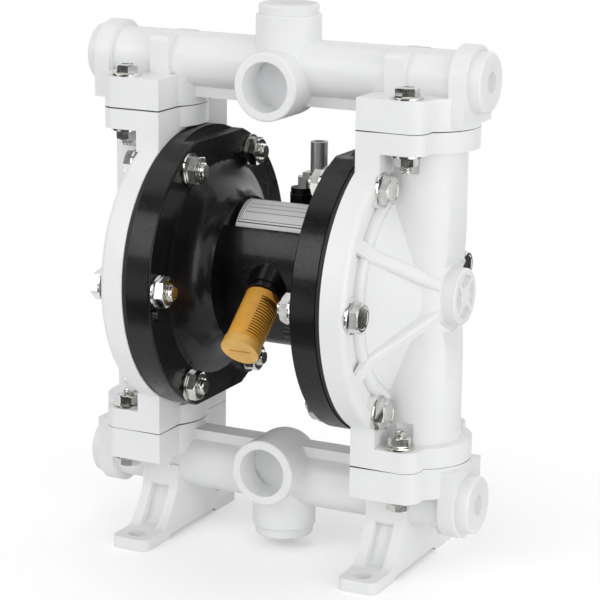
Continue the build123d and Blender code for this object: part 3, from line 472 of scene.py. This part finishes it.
def islands(node):
    """The (low, high) box of each separate solid in one CAD node."""
    mesh = bmesh.new()
    mesh.from_mesh(node.data)
    mesh.transform(node.matrix_world)
    bmesh.ops.remove_doubles(mesh, verts=mesh.verts, dist=MERGE_GAP)
    seen, boxes = set(), []
    for vert in mesh.verts:
        if vert in seen:
            continue
        seen.add(vert)
        waiting, solid = [vert], []
        while waiting:
            here = waiting.pop()
            solid.append(here.co.copy())
            for edge in here.link_edges:
                other = edge.other_vert(here)
                if other not in seen:
                    seen.add(other)
                    waiting.append(other)
        boxes.append((Vector([min(co[k] for co in solid) for k in range(3)]),
                      Vector([max(co[k] for co in solid) for k in range(3)])))
    mesh.free()
    return boxes


def ends(node, axis):
    """Near end, far end and outward direction of each solid along one axis."""
    pump_middle = (0.0, 0.0, SHAFT_Z)
    for low, high in islands(node):
        near = (low + high) / 2
        far = near.copy()
        outward = 1 if near[axis] > pump_middle[axis] else -1
        near[axis], far[axis] = low[axis], high[axis]
        if outward < 0:
            near[axis], far[axis] = high[axis], low[axis]
        direction = Vector((0.0, 0.0, 0.0))
        direction[axis] = outward
        yield near, far, direction


def along(direction, place, turn=0.0):
    """Frame at a place whose Z runs along a direction."""
    facing = Vector(direction).to_track_quat("Z", "Y").to_matrix().to_4x4()
    return Matrix.Translation(place) @ facing @ Matrix.Rotation(turn, 4, "Z")


def spins(count):
    """Scattered turns of under one hexagon side, the same at every run."""
    return [math.radians((SPIN_CURVE * i * i + SPIN_STEP * i) % SIDE_DEGREES)
            for i in range(count)]


# ---- detailed fasteners in place of the plain CAD ones -------------------------------
# M8 round the covers along X and M6 through the manifolds along Z, in millimetres. The
# key af is the size across flats, nut the nut's height and washer its outer radius.
FASTENERS = {
    "flange": dict(axis=0, af=13.0, head=4.6, radius=4.0, pitch=1.25, nut=5.0, washer=8.2),
    "manifold": dict(axis=2, af=10.0, head=4.0, radius=3.0, pitch=1.0, nut=4.6, washer=7.6),
}


def reach(places):
    """Length of the first solid along its axis, in millimetres."""
    near, far, direction = places[0]
    return (far - near).length / MM


def bolts(size, places):
    """A bolt as long as the CAD has it, and a frame under each head."""
    mesh = bolt_mesh(size, reach(places) - size["head"])
    return mesh, [along(direction, far - direction * size["head"] * MM, turn)
                  for (near, far, direction), turn in zip(places, spins(len(places)))]


def nuts(size, places):
    """A nut, and a frame at each near end."""
    return nut_mesh(size), [along(direction, near, turn)
                            for (near, far, direction), turn in zip(places, spins(len(places)))]


def washers(size, places):
    """A washer as thick as the CAD has it, and a frame at each near end."""
    mesh = washer_mesh(size, reach(places))
    return mesh, [along(direction, near) for near, far, direction in places]


def repeated(name, mesh, frames):
    """One object from a mesh repeated in several frames."""
    data = bpy.data.meshes.new(name)
    mesh.to_mesh(data)
    mesh.free()
    whole = bmesh.new()
    for place in frames:
        before = len(whole.verts)
        whole.from_mesh(data)
        whole.verts.ensure_lookup_table()
        for vert in whole.verts[before:]:
            vert.co = place @ vert.co
    bmesh.ops.recalc_face_normals(whole, faces=whole.faces)
    whole.to_mesh(data)
    whole.free()
    data.materials.append(LOOKS["hardware_steel"])
    obj = bpy.data.objects.new(name, data)
    bpy.context.collection.objects.link(obj)
    return obj


for family, size in FASTENERS.items():
    for kind, make in (("bolts", bolts), ("nuts", nuts), ("washers", washers)):
        node = f"{family}_{kind}"
        mesh, frames = make(size, list(ends(NODES[node], size["axis"])))
        obj = repeated(f"detailed_{node}", mesh, frames)
        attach(obj, "housing")
        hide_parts(node)

# ---- floor ---------------------------------------------------------------------------
FLOOR_SIZE = 2.4          # metres, as are the two radii
FLOOR_DROP = 0.1 * MM     # keeps the floor from sharing a plane with the feet
FLOOR_SOLID_R = 0.10
FLOOR_FADED_R = 0.22
FLOOR_GLOW = 0.22         # lifts the floor towards white for the camera only


def pale_floor():
    """Pale floor that fades into the white surroundings away from the object."""
    m = Shader("floor", (0.93, 0.93, 0.93), 0.75)
    m.bump((m.noise(220.0), 0.05 * MM))
    distance = m.vector("LENGTH", m.place)
    m.drive("Alpha", m.ramp(distance, 1.0, 0.0, FLOOR_SOLID_R, FLOOR_FADED_R))
    camera_ray = m.add("ShaderNodeLightPath").outputs["Is Camera Ray"]
    m.set("Emission Color", (1.0, 1.0, 1.0, 1.0))
    m.drive("Emission Strength", m.ramp(camera_ray, 0.0, FLOOR_GLOW, 0.0, 1.0))
    return m.material


bpy.ops.mesh.primitive_plane_add(size=FLOOR_SIZE, location=(0.0, 0.0, -FLOOR_DROP))
floor = bpy.context.object
floor.name = "floor"
floor.data.materials.append(pale_floor())

# ---- surroundings --------------------------------------------------------------------
AMBIENT = 0.72
PANEL_SCALE = 1.7                       # how fine the panels are that metal reflects
PANEL_DARK, DARK_UP_TO = 0.04, 0.40     # strength, and where in the noise it ends
PANEL_BRIGHT, BRIGHT_FROM = 1.15, 0.52  # strength, and where in the noise it begins


def studio():
    """Even light all round, panels in reflections and plain white behind the object."""
    world = bpy.data.worlds.new("studio")
    bpy.context.scene.world = world
    world.use_nodes = True
    nodes, links = world.node_tree.nodes, world.node_tree.links
    nodes.clear()
    rays = nodes.new("ShaderNodeLightPath")

    def background(strength, color=None):
        node = nodes.new("ShaderNodeBackground")
        node.inputs["Color"].default_value = (1.0, 1.0, 1.0, 1.0)
        node.inputs["Strength"].default_value = strength
        if color:
            links.new(color, node.inputs["Color"])
        return node.outputs[0]

    def choose(kind, otherwise, when):
        node = nodes.new("ShaderNodeMixShader")
        links.new(rays.outputs[kind], node.inputs["Fac"])
        links.new(otherwise, node.inputs[1])
        links.new(when, node.inputs[2])
        return node.outputs[0]

    noise = nodes.new("ShaderNodeTexNoise")
    noise.inputs["Scale"].default_value = PANEL_SCALE
    noise.inputs["Detail"].default_value = 0.0
    links.new(nodes.new("ShaderNodeTexCoord").outputs["Generated"], noise.inputs["Vector"])
    panels = nodes.new("ShaderNodeValToRGB")
    links.new(noise.outputs["Fac"], panels.inputs["Fac"])
    steps = ((DARK_UP_TO, PANEL_DARK), (BRIGHT_FROM, PANEL_BRIGHT))
    for element, (position, level) in zip(panels.color_ramp.elements, steps):
        element.position = position
        element.color = (level, level, level, 1.0)

    light = choose("Is Glossy Ray", background(AMBIENT), background(1.0, panels.outputs["Color"]))
    light = choose("Is Camera Ray", light, background(1.0))
    links.new(light, nodes.new("ShaderNodeOutputWorld").inputs["Surface"])


studio()

# ---- lights --------------------------------------------------------------------------
LIGHTS = {
    "key": dict(place=(-0.7, -1.3, 0.9), side=0.9, power=4.6),
    "fill": dict(place=(1.4, -0.7, 0.35), side=1.1, power=6.6),
    "top": dict(place=(0.3, 0.2, 1.6), side=1.2, power=1.6),
}
AIM = Vector((0.0, 0.0, SHAFT_Z))


def area_light(name, place, side, power):
    """Square light that faces the middle of the pump."""
    light = bpy.data.lights.new(name, "AREA")
    light.shape = "RECTANGLE"
    light.size = light.size_y = side
    light.energy = power
    lamp = bpy.data.objects.new(name, light)
    lamp.location = place
    lamp.rotation_mode = "QUATERNION"
    lamp.rotation_quaternion = (AIM - Vector(place)).to_track_quat("-Z", "Y")
    bpy.context.collection.objects.link(lamp)


for name, settings in LIGHTS.items():
    area_light(name, **settings)

# ---- camera, fitted to where the photograph shows the bolts, ports and feet ----------
CAMERA_LENS = 135.45      # on a sensor 36 mm wide
CAMERA_SENSOR = 36.0
CAMERA_AZIMUTH = math.radians(26.438)       # to the right of the pump's front
CAMERA_ELEVATION = math.radians(13.832)
CAMERA_ROLL = math.radians(0.662)
CAMERA_DISTANCE = 1103.3 * MM
CAMERA_TARGET = Vector((7.52 * MM, 0.0, SHAFT_Z - 12.118 * MM))
CAMERA_CLIP = (0.05, 20.0)


def fitted_camera():
    """Camera that looks at its target from the fitted side, height and roll."""
    ahead = math.cos(CAMERA_ELEVATION)
    back = Vector((math.sin(CAMERA_AZIMUTH) * ahead, -math.cos(CAMERA_AZIMUTH) * ahead,
                   math.sin(CAMERA_ELEVATION)))
    level_right = Vector((math.cos(CAMERA_AZIMUTH), math.sin(CAMERA_AZIMUTH), 0.0))
    level_up = back.cross(level_right)
    right = math.cos(CAMERA_ROLL) * level_right + math.sin(CAMERA_ROLL) * level_up
    up = math.cos(CAMERA_ROLL) * level_up - math.sin(CAMERA_ROLL) * level_right
    camera = bpy.data.objects.new("camera", bpy.data.cameras.new("camera"))
    camera.data.lens = CAMERA_LENS
    camera.data.sensor_width = CAMERA_SENSOR
    camera.data.clip_start, camera.data.clip_end = CAMERA_CLIP
    facing = Matrix((right, up, back)).transposed().to_4x4()
    camera.matrix_world = Matrix.Translation(CAMERA_TARGET + back * CAMERA_DISTANCE) @ facing
    bpy.context.collection.objects.link(camera)
    return camera


bpy.context.scene.camera = fitted_camera()
bpy.context.scene.view_settings.view_transform = "Standard"
